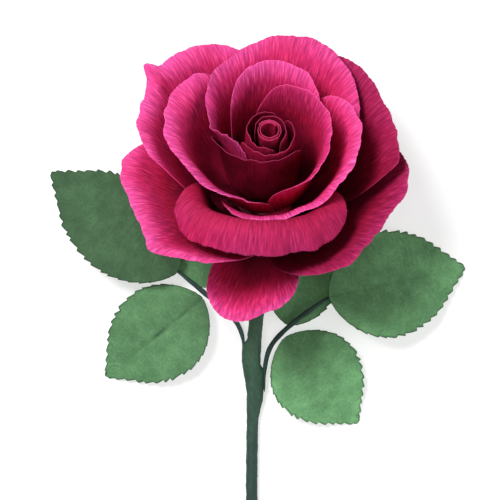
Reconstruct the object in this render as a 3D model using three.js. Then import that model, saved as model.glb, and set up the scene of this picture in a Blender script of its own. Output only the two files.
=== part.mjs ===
// Crepe paper rose lying on a surface: rolled bud, rings of petals, calyx, wired stem and two leaf sprays.
// Millimetres, +Z up. The rose rests on z = 0 with its stem running along -Y and its neck bent up.
import * as THREE from 'three';
import { mergeVertices } from 'three/addons/utils/BufferGeometryUtils.js';

// ---- Driving dimensions --------------------------------------------------------------------------------

const DEG = Math.PI / 180;
const TILT = 31 * DEG; // lean of the flower's axis from the vertical, towards +Y
const FLOOR_DROP = 17.4; // height of the flower's base point over the surface it lies on
const PAPER = 0.45; // thickness of a petal, two layers of glued crepe
const LEAF_PAPER = 0.6; // thickness of a leaflet
const AZIMUTH_STEP = 9; // degrees between columns, shared by all petals so that nested ones stay parallel
const PETAL_ROWS = 7;
const ROW_CROWDING = 1.35; // above 1 the rows stand closer together towards the rim, where the paper rolls
const SIDE_CUT = 0.42; // how far up its length a petal's two sides come together at the foot
const CORNER = 6; // power that sets how squarely a petal's corners turn
const CLEARANCE = 0.35; // gap between touching pieces

const WIRE_RADIUS = 1.0;
const WRAP_INNER = WIRE_RADIUS + CLEARANCE;
const WRAP_RADIUS = 2.1;
const NECK_RADIUS = 2.6;
const STEM_END_Y = -256;
const OUTLINE_MIDDLE = new THREE.Vector3(-4, -99.6, 0); // goes to the origin
const LEAF_WIRE_RADIUS = 0.55;
const PETIOLE_RADIUS = 0.9;

// Layers count outwards from the bud. Each row gives, for one layer, the angles from the axis at which a petal
// leaves its foot, stands in the middle and rolls at the rim, and the length of the roll.
const LAYERS = [
  { layer: 0, foot: 6, middle: 2, rim: 2, roll: 8 },
  { layer: 1.5, foot: 30, middle: -6, rim: -4, roll: 8 },
  { layer: 4.4, foot: 44, middle: 0, rim: 8, roll: 10 },
  { layer: 7.3, foot: 56, middle: 20, rim: 66, roll: 14 },
  { layer: 10, foot: 66, middle: 30, rim: 110, roll: 16 },
  { layer: 12.2, foot: 74, middle: 46, rim: 112, roll: 18 },
  { layer: 14, foot: 82, middle: 70, rim: 115, roll: 18 },
];
const FOOT_RADIUS = 2.2; // radius of layer 0's foot
const LAYER_PITCH = 0.82; // how much wider each layer's foot is
const FOOT_HEIGHT = 6;
const FOOT_FALL = 0.62; // how much lower each layer's foot is

// Every petal: its layer, how far it spirals inwards over 120 degrees, how much of its roll is cut away (spare),
// what it adds to its layer's angles, and its rim from end to end as rows of azimuth, length of the paper
// there and extra flare. A drift moves parts of a petal outwards by some layers: rows of azimuth and layers.
const PETALS = [
  {
    name: 'bud_petal_1', layer: 0.9, spiral: 0.6, spare: 0, middle: 2, rim: -6, corner: 16,
    outline: [[-60, 34.5, -5], [0, 35.5, 0], [60, 35.5, 0], [120, 35, 1], [180, 33.5, 0]],
  },
  {
    name: 'bud_petal_2', layer: 1.8, spiral: 0.6, spare: 0, middle: 2, rim: -6, corner: 16,
    outline: [[60, 35.5, -3], [120, 36.5, 0], [180, 36, 1.5], [240, 34.5, 3], [300, 33.5, 2]],
  },
  {
    name: 'bud_petal_3', layer: 2.7, spiral: 0.6, spare: 0, middle: 1, rim: -6, corner: 16,
    outline: [[180, 35, -4], [240, 35.5, -3], [300, 35, 0], [360, 35.5, 2.5], [420, 34.5, 3]],
  },
  {
    name: 'cup_petal_front', layer: 4.2, spiral: 1.4, spare: 0, corner: 12,
    drift: [[156, 1.3], [190, 1], [215, 0.6], [257, 0], [350, 0]],
    outline: [
      [156, 30, -3], [163, 32.5, -7], [172, 34.5, -11], [185, 35, -18], [203, 35, -17], [228, 35, -14],
      [257, 35, -6], [295, 35, -2.5], [329, 35, 6], [350, 33.5, 14],
    ],
  },
  {
    name: 'cup_petal_right', layer: 4.8, spiral: 1.3, spare: 0,
    outline: [
      [-93, 35, -2], [-72, 38, 4], [-43, 40, 9], [-16, 42.5, 9], [5, 45.5, 8], [30, 47, 4],
      [56, 47, 2], [83, 45, 0], [120, 38, 0],
    ],
  },
  {
    name: 'cup_petal_back', layer: 5.6, spiral: 1, spare: 0,
    outline: [
      [24, 40, 0], [45, 43.5, 0], [65, 47.5, 0], [85, 49, 0], [108, 48, 0], [125, 45, 0], [150, 36, 0],
    ],
  },
  {
    name: 'middle_petal_left', layer: 7.4, spiral: 1.2, spare: 2,
    outline: [
      [108, 41, 0], [122, 45, 0], [136, 48.5, 0], [150, 49, 0], [170, 50, 0], [185, 49.5, 0],
      [198, 44, 0], [213, 36, 0], [232, 31, -5], [256, 29, -6], [276, 28, -2],
    ],
  },
  {
    name: 'middle_petal_right', layer: 7.4, spiral: 1.1, spare: 3,
    outline: [
      [216, 29, 0], [245, 30, 0], [278, 32.5, 0], [300, 36, 0], [320, 40.5, 0], [342, 44.5, 0],
      [363, 47, 0], [384, 46.5, 0], [402, 44, 0], [420, 38, 0],
    ],
  },
  {
    name: 'middle_petal_top', layer: 7.2, spiral: 1.2, spare: 0, corner: 12,
    drift: [[0, 0], [100, 0], [130, -0.4], [150, -1], [172, -1.9], [190, -2.3], [234, -2.5]],
    outline: [
      [0, 34, 0], [27, 43, 0], [45, 49.5, 0], [68, 53, 0], [88, 51.5, 0], [110, 47, 2], [132, 43.5, 8],
      [145, 39.5, 8], [155, 36.5, 12], [165, 35, 16], [173, 34.5, 9], [186, 35.5, -1], [200, 35.5, -4],
      [220, 35.5, -3], [234, 35, -1],
    ],
  },
  {
    name: 'outer_petal_top_left', layer: 10, spiral: 1.2, spare: 5,
    outline: [
      [84, 42, 0], [104, 46, 0], [122, 51.5, 0], [138, 54, 0], [145, 55.5, 0], [149, 60, 0],
      [153, 55.5, 0], [160, 53.5, 0], [176, 54, 0], [192, 51.5, 0], [208, 46, 0],
    ],
  },
  {
    name: 'outer_petal_front', layer: 9.9, spiral: 1.2, spare: -4, middle: -12, rim: 40,
    drift: [[198, 0], [290, 0], [332, 0.9]],
    outline: [
      [198, 40, -20], [212, 47, -12], [228, 55, 0], [246, 60, 0], [262, 61, 0], [280, 57, 0],
      [298, 52, 0], [316, 47, -8], [332, 41, -12],
    ],
  },
  {
    name: 'outer_petal_right', layer: 10, spiral: 1.2, spare: 8,
    outline: [
      [-24, 46, 0], [-17, 51, 0], [-12, 55, 0], [-6, 52, 0], [4, 49.5, 0], [22, 48.5, 0], [44, 50, 0],
      [64, 48, 0], [84, 44, 0],
    ],
  },
  {
    name: 'lower_petal_left', layer: 12.3, spiral: 1.2, spare: 8, middle: -6,
    outline: [
      [156, 36, 0], [172, 43, 0], [189, 49, 0], [202, 49.5, 0], [214, 53.5, 0], [223, 59, 0],
      [229, 65, 0], [235, 61, 0], [244, 58, 0], [254, 54, 0], [264, 46, 0],
    ],
  },
  {
    name: 'lower_petal_right', layer: 12.3, spiral: 1.2, spare: 12, middle: -6,
    outline: [
      [270, 38, 0], [286, 47, 0], [305, 49.8, 0], [322, 46.8, 0], [342, 50, 0], [358, 47.5, 0],
      [376, 40, 0],
    ],
  },
  {
    name: 'lower_petal_back', layer: 12.3, spiral: 1.2, spare: 13,
    outline: [[36, 36, 0], [60, 42, 0], [84, 44, 0], [108, 42, 0], [132, 36, 0]],
  },
  {
    name: 'lowest_petal_front', layer: 14, spiral: 1, spare: 15,
    outline: [[234, 22, 0], [244, 38, 0], [257, 48.5, 0], [270, 43, 0], [282, 34, 0], [292, 20, 0]],
  },
  {
    name: 'lowest_petal_left', layer: 14, spiral: 1, spare: 33, middle: 12,
    outline: [[108, 20, 0], [138, 29, 0], [168, 20, 0]],
  },
  {
    name: 'lowest_petal_right', layer: 14, spiral: 1, spare: 31, middle: 12,
    outline: [[12, 22, 0], [42, 31, 0], [72, 22, 0]],
  },
];

// ---- Materials ----------------------------------------------------------------------------------------

function matte(colour, roughness = 0.85, metalness = 0) {
  return new THREE.MeshStandardMaterial({ color: colour, roughness, metalness });
}

const petalPaper = () => matte(0xd4286f, 0.8);
const leafPaper = () => matte(0x4f8457, 0.9);
const stemTape = () => matte(0x3a5a4a, 0.85);
const bareWire = () => matte(0x8a8d8c, 0.4, 1);

// ---- Solids from grids of points ----------------------------------------------------------------------

/** Closed solid from rows of points: `outer[j][i]` and `inner[j][i]` are its faces, joined round the edge. */
function sheetSolid(outer, inner) {
  const rows = outer.length;
  const columns = outer[0].length;
  const points = [...outer.flat(), ...inner.flat()];
  const top = (j, i) => j * columns + i;
  const under = (j, i) => rows * columns + j * columns + i;
  const index = [];
  const quad = (a, b, c, d) => index.push(a, b, c, a, c, d);
  for (let j = 0; j < rows - 1; j++) {
    for (let i = 0; i < columns - 1; i++) {
      quad(top(j, i), top(j, i + 1), top(j + 1, i + 1), top(j + 1, i));
      quad(under(j, i), under(j + 1, i), under(j + 1, i + 1), under(j, i + 1));
    }
  }
  for (let i = 0; i < columns - 1; i++) {
    quad(under(0, i), under(0, i + 1), top(0, i + 1), top(0, i));
    quad(top(rows - 1, i), top(rows - 1, i + 1), under(rows - 1, i + 1), under(rows - 1, i));
  }
  for (let j = 0; j < rows - 1; j++) {
    quad(top(j, 0), top(j + 1, 0), under(j + 1, 0), under(j, 0));
    quad(under(j, columns - 1), under(j + 1, columns - 1), top(j + 1, columns - 1), top(j, columns - 1));
  }
  return geometryOf(points, index);
}

/**
 * Round rod or tube along a curve, with `steps` rings of `sides` points. `radiusAt` gives its outer radius at
 * a point of the middle line; with `bore` it is hollow right through, and it may begin `first` rings along.
 */
function rod(curve, radiusAt, steps, sides, bore = 0, first = 0) {
  const points = [];
  const ring = (step, radius) => {
    const tangent = curve.getTangent(step / steps);
    const level = new THREE.Vector3(-tangent.y, tangent.x, 0).normalize();
    const upright = tangent.clone().cross(level);
    const centre = curve.getPoint(step / steps);
    for (let k = 0; k < sides; k++) {
      const angle = (2 * Math.PI * k) / sides;
      const point = centre.clone().addScaledVector(level, radius(centre) * Math.cos(angle));
      points.push(point.addScaledVector(upright, radius(centre) * Math.sin(angle)));
    }
  };
  const rings = steps - first + 1;
  for (let step = first; step <= steps; step++) ring(step, radiusAt);
  if (bore > 0) for (let step = first; step <= steps; step++) ring(step, () => bore);
  const index = [];
  const quad = (a, b, c, d) => index.push(a, b, c, a, c, d);
  const outer = (row, k) => row * sides + (k % sides);
  const inner = (row, k) => (rings + row) * sides + (k % sides);
  for (let k = 0; k < sides; k++) {
    for (let row = 0; row < rings - 1; row++) {
      quad(outer(row, k), outer(row, k + 1), outer(row + 1, k + 1), outer(row + 1, k));
      if (bore > 0) quad(inner(row, k), inner(row + 1, k), inner(row + 1, k + 1), inner(row, k + 1));
    }
    if (bore > 0) {
      quad(inner(0, k), inner(0, k + 1), outer(0, k + 1), outer(0, k));
      quad(outer(rings - 1, k), outer(rings - 1, k + 1), inner(rings - 1, k + 1), inner(rings - 1, k));
    }
  }
  if (bore === 0) {
    const start = points.push(curve.getPoint(first / steps)) - 1;
    const end = points.push(curve.getPoint(1)) - 1;
    for (let k = 0; k < sides; k++) {
      index.push(start, outer(0, k + 1), outer(0, k), end, outer(rings - 1, k), outer(rings - 1, k + 1));
    }
  }
  return geometryOf(points, index);
}

function geometryOf(points, index) {
  const geometry = new THREE.BufferGeometry();
  const places = points.flatMap((p) => [p.x, p.y, p.z]);
  geometry.setAttribute('position', new THREE.Float32BufferAttribute(places, 3));
  geometry.setIndex(index);
  const merged = mergeVertices(geometry);
  merged.computeVertexNormals();
  return merged;
}

// ---- Petals -------------------------------------------------------------------------------------------

const smooth = (x) => THREE.MathUtils.smoothstep(x, 0, 1);

/** One value of the layer table at a layer between its rows. */
function layerValue(layer, key) {
  const last = LAYERS.length - 1;
  let row = 0;
  while (row < last - 1 && LAYERS[row + 1].layer < layer) row++;
  const [a, b] = [LAYERS[row], LAYERS[row + 1]];
  const t = THREE.MathUtils.clamp((layer - a.layer) / (b.layer - a.layer), 0, 1);
  return THREE.MathUtils.lerp(a[key], b[key], t);
}

/** Smooth curve through rows of hand-set numbers: the value in `column` at place x, the first column. */
function curveThrough(rows, column, x) {
  const last = rows.length - 1;
  const rise = (k) => (rows[k + 1][column] - rows[k][column]) / (rows[k + 1][0] - rows[k][0]);
  const slope = (k) => {
    if (k === 0) return rise(0);
    if (k === last) return rise(last - 1);
    const [before, after] = [rows[k][0] - rows[k - 1][0], rows[k + 1][0] - rows[k][0]];
    return (before * rise(k) + after * rise(k - 1)) / (before + after);
  };
  let k = 0;
  while (k < last - 1 && rows[k + 1][0] < x) k++;
  const width = rows[k + 1][0] - rows[k][0];
  const t = (x - rows[k][0]) / width;
  const values = rows[k][column] * (1 + 2 * t) * (1 - t) ** 2 + rows[k + 1][column] * t * t * (3 - 2 * t);
  return values + width * (slope(k) * t * (1 - t) ** 2 - slope(k + 1) * t * t * (1 - t));
}

/** Point and direction of the paper in one column of a petal, `distance` along it from the foot. */
function profile(petal, { layer, length, flare }, distance) {
  const foot = layerValue(layer, 'foot');
  const middle = layerValue(layer, 'middle') + (petal.middle ?? 0) + flare / 2;
  const rim = layerValue(layer, 'rim') + (petal.rim ?? 0) + flare;
  const roll = layerValue(layer, 'roll');
  const whole = length + petal.spare;
  const angleAt = (s) => {
    const rise = (middle - foot) * smooth(s / (0.55 * whole));
    const turn = (rim - middle) * smooth((s - whole + roll) / (1.15 * roll));
    return (foot + rise + turn) * DEG;
  };
  const steps = 40;
  const ds = distance / steps;
  let radius = FOOT_RADIUS + LAYER_PITCH * layer;
  let height = FOOT_HEIGHT - FOOT_FALL * layer;
  for (let k = 0; k < steps; k++) {
    const angle = angleAt((k + 0.5) * ds);
    radius += Math.sin(angle) * ds;
    height += Math.cos(angle) * ds;
  }
  return { radius, height, angle: angleAt(distance) };
}

/** A petal's columns: both of its ends and every shared azimuth between them. */
function columnsOf(petal) {
  const from = petal.outline[0][0];
  const to = petal.outline.at(-1)[0];
  const columns = [from];
  for (let k = Math.ceil(from / AZIMUTH_STEP); k * AZIMUTH_STEP < to; k++) {
    const azimuth = k * AZIMUTH_STEP;
    if (Math.min(azimuth - from, to - azimuth) > AZIMUTH_STEP / 3) columns.push(azimuth);
  }
  return [...columns, to];
}

/** Layer, length, flare, and the distances at which the paper begins and ends in one column of a petal. */
function columnOf(petal, azimuth) {
  const [from, to] = [petal.outline[0][0], petal.outline.at(-1)[0]];
  const across = (2 * azimuth - from - to) / (to - from);
  const drift = petal.drift ? curveThrough(petal.drift, 1, azimuth) : 0;
  const layer = petal.layer - (petal.spiral * (azimuth - (from + to) / 2)) / 120 + drift;
  const length = curveThrough(petal.outline, 1, azimuth);
  const flare = curveThrough(petal.outline, 2, azimuth);
  const foot = SIDE_CUT * length * across ** 2;
  const full = Math.max(Math.sqrt(Math.max(1 - Math.abs(across) ** (petal.corner ?? CORNER), 0)), 0.05);
  return { layer, length, flare, foot, rim: foot + (length - foot) * full };
}

/** Petal as a thin curved shell: a fan of paper with a narrow foot and a rounded rim. */
function petalSolid(petal) {
  const columns = columnsOf(petal).map((azimuth) => ({ ...columnOf(petal, azimuth), azimuth: azimuth * DEG }));
  const face = (side) => [...Array(PETAL_ROWS + 1).keys()].map((j) => {
    const part = 1 - (1 - j / PETAL_ROWS) ** ROW_CROWDING;
    return columns.map((column) => {
      const at = profile(petal, column, column.foot + (column.rim - column.foot) * part);
      return flowerPoint(at, column.azimuth, (side * PAPER) / 2);
    });
  });
  return sheetSolid(face(1), face(-1));
}

/** Point at an azimuth in radians, `out` from the paper's middle surface on its outer side. */
function flowerPoint({ radius, height, angle }, azimuth, out) {
  const r = radius + out * Math.cos(angle);
  return new THREE.Vector3(r * Math.cos(azimuth), r * Math.sin(azimuth), height - out * Math.sin(angle));
}

// ---- Middle of the flower -----------------------------------------------------------------------------

/** Bud core: a strip of crepe rolled tight at the foot and opening upwards round a deep eye. */
function budCore() {
  const outside = [[0, 6.5], [1.2, 6.5], [2.3, 10], [2.5, 18], [3.0, 26], [3.9, 34], [4.3, 39]];
  const eye = [[3.8, 40.2], [3.0, 39.8], [2.4, 35], [1.3, 31], [0, 30]];
  const outline = [...outside, ...eye].map(([r, h]) => new THREE.Vector2(r, h));
  const lathe = new THREE.LatheGeometry(outline, 16);
  lathe.rotateX(Math.PI / 2);
  return cleaned(lathe);
}

function cleaned(geometry) {
  geometry.deleteAttribute('normal');
  geometry.deleteAttribute('uv');
  const merged = mergeVertices(geometry);
  merged.computeVertexNormals();
  return merged;
}

/** Strip of crepe wound round the petals' feet: a cone under them, with a bore for the wire. */
function petalBinding() {
  const bore = [[WRAP_INNER, 4.8], [WRAP_INNER, -9.2]];
  const outline = [...bore, [4.4, -9.2], [12.6, -4.6], [12.6, -3.7], [2.1, 4.4], bore[0]];
  const lathe = new THREE.LatheGeometry(outline.map(([r, h]) => new THREE.Vector2(r, h)), 20);
  lathe.rotateX(Math.PI / 2);
  return cleaned(lathe);
}

const SEPALS = 5;
const FIRST_SEPAL = -18; // azimuth of one sepal, so that none points straight down to the surface
const SEPAL_LENGTH = 19;
const SEPAL_SHAPE = 1.6; // above 1 the sepals' sides curve in towards their points
const SEPAL_ANGLE = 80 * DEG; // from the axis
const CUP_ANGLE = 62 * DEG;
const CUP_MARGIN = 1.2; // the cup's rim between two sepals
// The sepals lie against the undersides of the lowest petals.
const SEPAL = { spare: 0, middle: 20 };
const SEPAL_COLUMN = { layer: 15.8, length: 62, flare: 0 };

/** Calyx: one cut piece of green paper, a cup round the binding that runs out into five pointed sepals. */
function calyx() {
  const pitch = 360 / SEPALS;
  const outer = [];
  const inner = [];
  const cup = [[3.5, -10.4], [8.2, -8.1], [12.6, -5.6], [14.6, -4.4]];
  const rows = cup.length + 4;
  for (let j = 0; j < rows; j++) {
    outer.push([]);
    inner.push([]);
    for (let turn = 0; turn <= 360; turn += AZIMUTH_STEP) {
      const azimuth = (FIRST_SEPAL + turn) * DEG;
      const fromMiddle = Math.abs(((turn + pitch / 2) % pitch) - pitch / 2) / (pitch / 2);
      const reach = CUP_MARGIN + (SEPAL_LENGTH - CUP_MARGIN) * (1 - fromMiddle) ** SEPAL_SHAPE;
      let at = { radius: 0, height: 0, angle: CUP_ANGLE };
      if (j < cup.length) {
        [at.radius, at.height] = cup[j];
      } else {
        at = profile(SEPAL, SEPAL_COLUMN, (reach * (j - cup.length + 1)) / (rows - cup.length));
        at.angle = SEPAL_ANGLE;
      }
      outer[j].push(flowerPoint(at, azimuth, LEAF_PAPER / 2));
      inner[j].push(flowerPoint(at, azimuth, -LEAF_PAPER / 2));
    }
  }
  return ringSolid(outer, inner);
}

/** Closed solid like sheetSolid, but round the axis: its first and last columns meet. */
function ringSolid(outer, inner) {
  const rows = outer.length;
  const columns = outer[0].length - 1;
  const points = [...outer, ...inner].flatMap((row) => row.slice(0, columns));
  const top = (j, i) => j * columns + (i % columns);
  const under = (j, i) => (rows + j) * columns + (i % columns);
  const index = [];
  const quad = (a, b, c, d) => index.push(a, b, c, a, c, d);
  for (let i = 0; i < columns; i++) {
    for (let j = 0; j < rows - 1; j++) {
      quad(top(j, i), top(j, i + 1), top(j + 1, i + 1), top(j + 1, i));
      quad(under(j, i), under(j + 1, i), under(j + 1, i + 1), under(j, i + 1));
    }
    quad(under(0, i), under(0, i + 1), top(0, i + 1), top(0, i));
    quad(top(rows - 1, i), top(rows - 1, i + 1), under(rows - 1, i + 1), under(rows - 1, i));
  }
  return geometryOf(points, index);
}

// ---- Stem ---------------------------------------------------------------------------------------------

/** Point on the flower's axis, `height` above its base point, in the frame of the lying rose. */
function onAxis(height) {
  return new THREE.Vector3(0, height * Math.sin(TILT), FLOOR_DROP + height * Math.cos(TILT));
}

const WIRE_TOP = 4.4;
const WRAP_TOP = -10.9;
const BEND_START = -12;
const BEND_LIFT = 0.15; // the bent neck stays just clear of the surface
const BRANCHES_START = -62; // the stem is thicker above this place, where the leaf wires are bound in
const BRANCHES_END = -80;
const STEM_ROUTE = [
  [-0.1, -22], [-0.9, -27], [-2.6, -34], [-4.6, -48], [-5.4, BRANCHES_START], [-5.7, BRANCHES_END],
  [-6, -110], [-5.4, -160], [-3.6, -210],
];

/** The stem's middle line: down the flower's axis, round the bent neck and along the surface. */
function stemCurve() {
  const start = onAxis(BEND_START);
  const turn = Math.PI / 2 - TILT;
  const radius = (start.z - NECK_RADIUS - BEND_LIFT) / (1 - Math.cos(turn));
  const points = [onAxis(WIRE_TOP), onAxis((WIRE_TOP + WRAP_TOP) / 2), onAxis(WRAP_TOP)];
  const bendSteps = 4;
  for (let k = 0; k <= bendSteps; k++) {
    const left = turn * (1 - k / bendSteps);
    const y = start.y - radius * (Math.sin(turn) - Math.sin(left));
    points.push(new THREE.Vector3(0, y, NECK_RADIUS + BEND_LIFT + radius * (1 - Math.cos(left))));
  }
  STEM_ROUTE.forEach(([x, y]) => points.push(new THREE.Vector3(x, y, stemRadius(y))));
  for (const back of [16, 8, 0]) points.push(new THREE.Vector3(-2.6, STEM_END_Y + back, WRAP_RADIUS));
  return new THREE.CatmullRomCurve3(points, false, 'centripetal');
}

function stemRadius(y) {
  const t = THREE.MathUtils.clamp((y - BRANCHES_END) / (BRANCHES_START - BRANCHES_END), 0, 1);
  return THREE.MathUtils.lerp(WRAP_RADIUS, NECK_RADIUS, t);
}

const STEM_STEPS = 38; // two for each stretch between the points of the middle line
const STEM_SIDES = 12;
const WRAP_FIRST_STEP = 4; // the wrap begins at the third point, under the calyx

function stemWire() {
  return rod(stemCurve(), () => WIRE_RADIUS, STEM_STEPS, STEM_SIDES);
}

function stemWrap() {
  const radiusAt = (point) => stemRadius(point.y);
  return rod(stemCurve(), radiusAt, STEM_STEPS, STEM_SIDES, WRAP_INNER, WRAP_FIRST_STEP);
}

// ---- Leaves -------------------------------------------------------------------------------------------

// Each leaflet lies from its base to its tip (x, y, z of the midrib) with its greatest width and its arch.
const LEAFLETS = {
  leaflet_left_end: { base: [-32.4, -28.4, 10.5], tip: [-78.2, 7.1, 0.4], width: 34, arch: 3 },
  leaflet_left_lower: { base: [-23.6, -38.2, 5.2], tip: [-58.5, -66.3, 0.4], width: 34, arch: 2.5 },
  leaflet_left_upper: { base: [-23.4, -34.2, 5.8], tip: [-21.5, 4, 1.6], width: 27, arch: 2 },
  leaflet_right_end: { base: [21.6, -37.4, 10], tip: [70.8, -27.2, 0.4], width: 38, arch: 3.5 },
  leaflet_right_lower: { base: [5.6, -52.6, 4.6], tip: [32.1, -83.1, 0.4], width: 33, arch: 2.5 },
  leaflet_right_upper: { base: [7, -47.6, 4.8], tip: [18.5, -12, 2.6], width: 25, arch: 1.6 },
};
const LEAF_ROWS = 8;
const LEAF_COLUMNS = 4;
const LEAF_CUP = 0.08; // how much the blade rises from its midrib, for each millimetre across

/** Point of a leaflet's middle surface, t along the midrib and v from -1 to 1 across. */
function leafPoint(leaf, t, v) {
  const base = new THREE.Vector3(...leaf.base);
  const tip = new THREE.Vector3(...leaf.tip);
  const along = tip.clone().sub(base);
  const across = new THREE.Vector3(-along.y, along.x, 0).normalize();
  const halfWidth = Math.max((leaf.width / 2) * Math.sin(Math.PI * t ** 0.82) ** 0.72, 0.6);
  const point = base.addScaledVector(along, t).addScaledVector(across, v * halfWidth);
  point.z += leaf.arch * 4 * t * (1 - t) + LEAF_CUP * Math.abs(v) * halfWidth * (1 - t);
  return point;
}

function leafSolid(leaf) {
  const rows = [...Array(LEAF_ROWS + 1).keys()].map((j) => (1 - Math.cos((Math.PI * j) / LEAF_ROWS)) / 2);
  const columns = [...Array(LEAF_COLUMNS + 1).keys()].map((i) => (2 * i) / LEAF_COLUMNS - 1);
  const face = (side) => rows.map((t) => columns.map((v) => {
    const point = leafPoint(leaf, t, v);
    point.z += (side * LEAF_PAPER) / 2;
    return point;
  }));
  return sheetSolid(face(-1), face(1));
}

const WIRE_REACH = 0.62; // how far along the midrib a leaf wire is glued under its leaflet
const WIRE_TAPER = 14; // length over which a spray's wire thins down to its leaflet

/** Middle line of the wire glued under a leaflet, after the points that lead to the leaflet's base. */
function midribPoints(leaf) {
  const drop = LEAF_PAPER / 2 + CLEARANCE + LEAF_WIRE_RADIUS + 0.1;
  return [0.04, 0.2, 0.4, WIRE_REACH].map((t) => leafPoint(leaf, t, 0).add(new THREE.Vector3(0, 0, -drop)));
}

// Each leaf wire's way from the stem, or from the fork of its spray, to its leaflet.
const LEAF_WIRES = [
  {
    name: 'leaf_wire_left_end', leaflet: 'leaflet_left_end', radius: PETIOLE_RADIUS,
    way: [[-9.4, -60, 2.6], [-9.1, -53, 3], [-12, -46, 4.4], [-22.7, -36.4, 7.2]],
  },
  {
    name: 'leaf_wire_right_end', leaflet: 'leaflet_right_end', radius: PETIOLE_RADIUS,
    way: [[-1.4, -72, 2.6], [-1.2, -63, 2.9], [0.6, -56, 4.2], [5, -50.4, 6.6], [14.6, -42.6, 8.2]],
  },
  { name: 'leaf_wire_left_lower', leaflet: 'leaflet_left_lower', radius: LEAF_WIRE_RADIUS, way: [] },
  { name: 'leaf_wire_left_upper', leaflet: 'leaflet_left_upper', radius: LEAF_WIRE_RADIUS, way: [] },
  { name: 'leaf_wire_right_lower', leaflet: 'leaflet_right_lower', radius: LEAF_WIRE_RADIUS, way: [] },
  { name: 'leaf_wire_right_upper', leaflet: 'leaflet_right_upper', radius: LEAF_WIRE_RADIUS, way: [] },
];

function leafWire({ leaflet, radius, way }) {
  const points = [...way.map((p) => new THREE.Vector3(...p)), ...midribPoints(LEAFLETS[leaflet])];
  const curve = new THREE.CatmullRomCurve3(points, false, 'centripetal');
  const midrib = midribPoints(LEAFLETS[leaflet])[0];
  const thinning = (point) => smooth(point.distanceTo(midrib) / WIRE_TAPER);
  const radiusAt = (point) => THREE.MathUtils.lerp(LEAF_WIRE_RADIUS, radius, thinning(point));
  return rod(curve, radiusAt, 2 * (points.length - 1), 6);
}

// ---- The rose -----------------------------------------------------------------------------------------

function mesh(name, geometry, material) {
  const piece = new THREE.Mesh(geometry, material);
  piece.name = name;
  return piece;
}

const flower = new THREE.Group();
flower.rotation.x = -TILT;
flower.position.z = FLOOR_DROP;
PETALS.forEach((petal) => flower.add(mesh(petal.name, petalSolid(petal), petalPaper())));
flower.add(mesh('bud_core', budCore(), petalPaper()));
flower.add(mesh('petal_binding', petalBinding(), petalPaper()));
flower.add(mesh('calyx', calyx(), leafPaper()));

const rose = new THREE.Group();
rose.position.copy(OUTLINE_MIDDLE).negate();
rose.add(flower);
rose.add(mesh('stem_wire', stemWire(), bareWire()));
rose.add(mesh('stem_wrap', stemWrap(), stemTape()));
Object.entries(LEAFLETS).forEach(([name, leaf]) => rose.add(mesh(name, leafSolid(leaf), leafPaper())));
LEAF_WIRES.forEach((wire) => rose.add(mesh(wire.name, leafWire(wire), stemTape())));

export default rose;
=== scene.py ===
"""Crepe paper rose: fine paper petals, serrated leaves and taped stem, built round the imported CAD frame."""
import math

import bpy
import numpy as np
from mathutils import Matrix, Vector


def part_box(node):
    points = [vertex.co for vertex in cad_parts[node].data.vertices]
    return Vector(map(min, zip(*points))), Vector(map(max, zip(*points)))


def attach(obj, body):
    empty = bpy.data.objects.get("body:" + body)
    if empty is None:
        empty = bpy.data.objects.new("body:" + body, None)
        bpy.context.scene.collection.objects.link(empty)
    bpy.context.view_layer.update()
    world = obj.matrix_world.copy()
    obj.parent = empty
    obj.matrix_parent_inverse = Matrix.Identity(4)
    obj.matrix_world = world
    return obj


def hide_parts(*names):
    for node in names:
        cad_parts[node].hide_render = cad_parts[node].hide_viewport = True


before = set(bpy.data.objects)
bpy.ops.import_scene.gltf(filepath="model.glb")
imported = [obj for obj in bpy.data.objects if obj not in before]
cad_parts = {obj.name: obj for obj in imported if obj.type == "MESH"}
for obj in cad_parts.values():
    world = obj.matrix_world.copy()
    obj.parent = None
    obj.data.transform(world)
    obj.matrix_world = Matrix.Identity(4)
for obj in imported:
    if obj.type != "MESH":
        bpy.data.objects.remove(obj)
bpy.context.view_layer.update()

# ---- Driving dimensions, in millimetres as in the CAD source ---------------------------------------------

MM = 0.001
TILT = math.radians(31)  # lean of the flower's axis from the vertical, towards +Y
FLOOR_DROP = 17.4  # height of the flower's base point over the surface
PETAL_THICKNESS = 0.34
LEAF_THICKNESS = 0.42
SEED = 20

# The flower's axis crosses the origin of the CAD source. In the frame, the round bud core shows where that is
# to the sides, and the cut end of the stem shows how far back.
STEM_END_Y = -256
core_low, core_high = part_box("bud_core")
wire_low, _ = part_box("stem_wire")
SHIFT = np.array([(core_low[0] + core_high[0]) / 2 / MM, wire_low[1] / MM - STEM_END_Y, 0.0])

# Layers count outwards from the bud. Each row gives, for one layer, the angles from the axis at a petal's
# foot, middle and rim, and then the length of the roll at the rim.
LAYERS = np.array([
    # layer, foot, middle, rim, roll
    (0.0, 6, 2, 2, 8),
    (1.5, 30, -6, -4, 8),
    (4.4, 44, 0, 8, 10),
    (7.3, 56, 20, 66, 14),
    (10.0, 66, 30, 110, 16),
    (12.2, 74, 46, 112, 18),
    (14.0, 82, 70, 115, 18),
], float)
FOOT_RADIUS, LAYER_PITCH = 2.2, 0.82
FOOT_HEIGHT, FOOT_FALL = 6.0, 0.62

RISE_PART = 0.55  # part of the paper over which the foot's angle turns into the middle's
ROLL_EASE = 1.15  # length over which the rim turns, for each millimetre of its roll
PROFILE_REACH = 1.03  # how far a profile is followed, for each millimetre of the paper's length
FOOT_NOTCH = 0.42  # how much of the paper is cut away at the foot by a petal's ends
END_ROUNDING = 6  # power that sets how squarely a petal's corners turn

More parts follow.
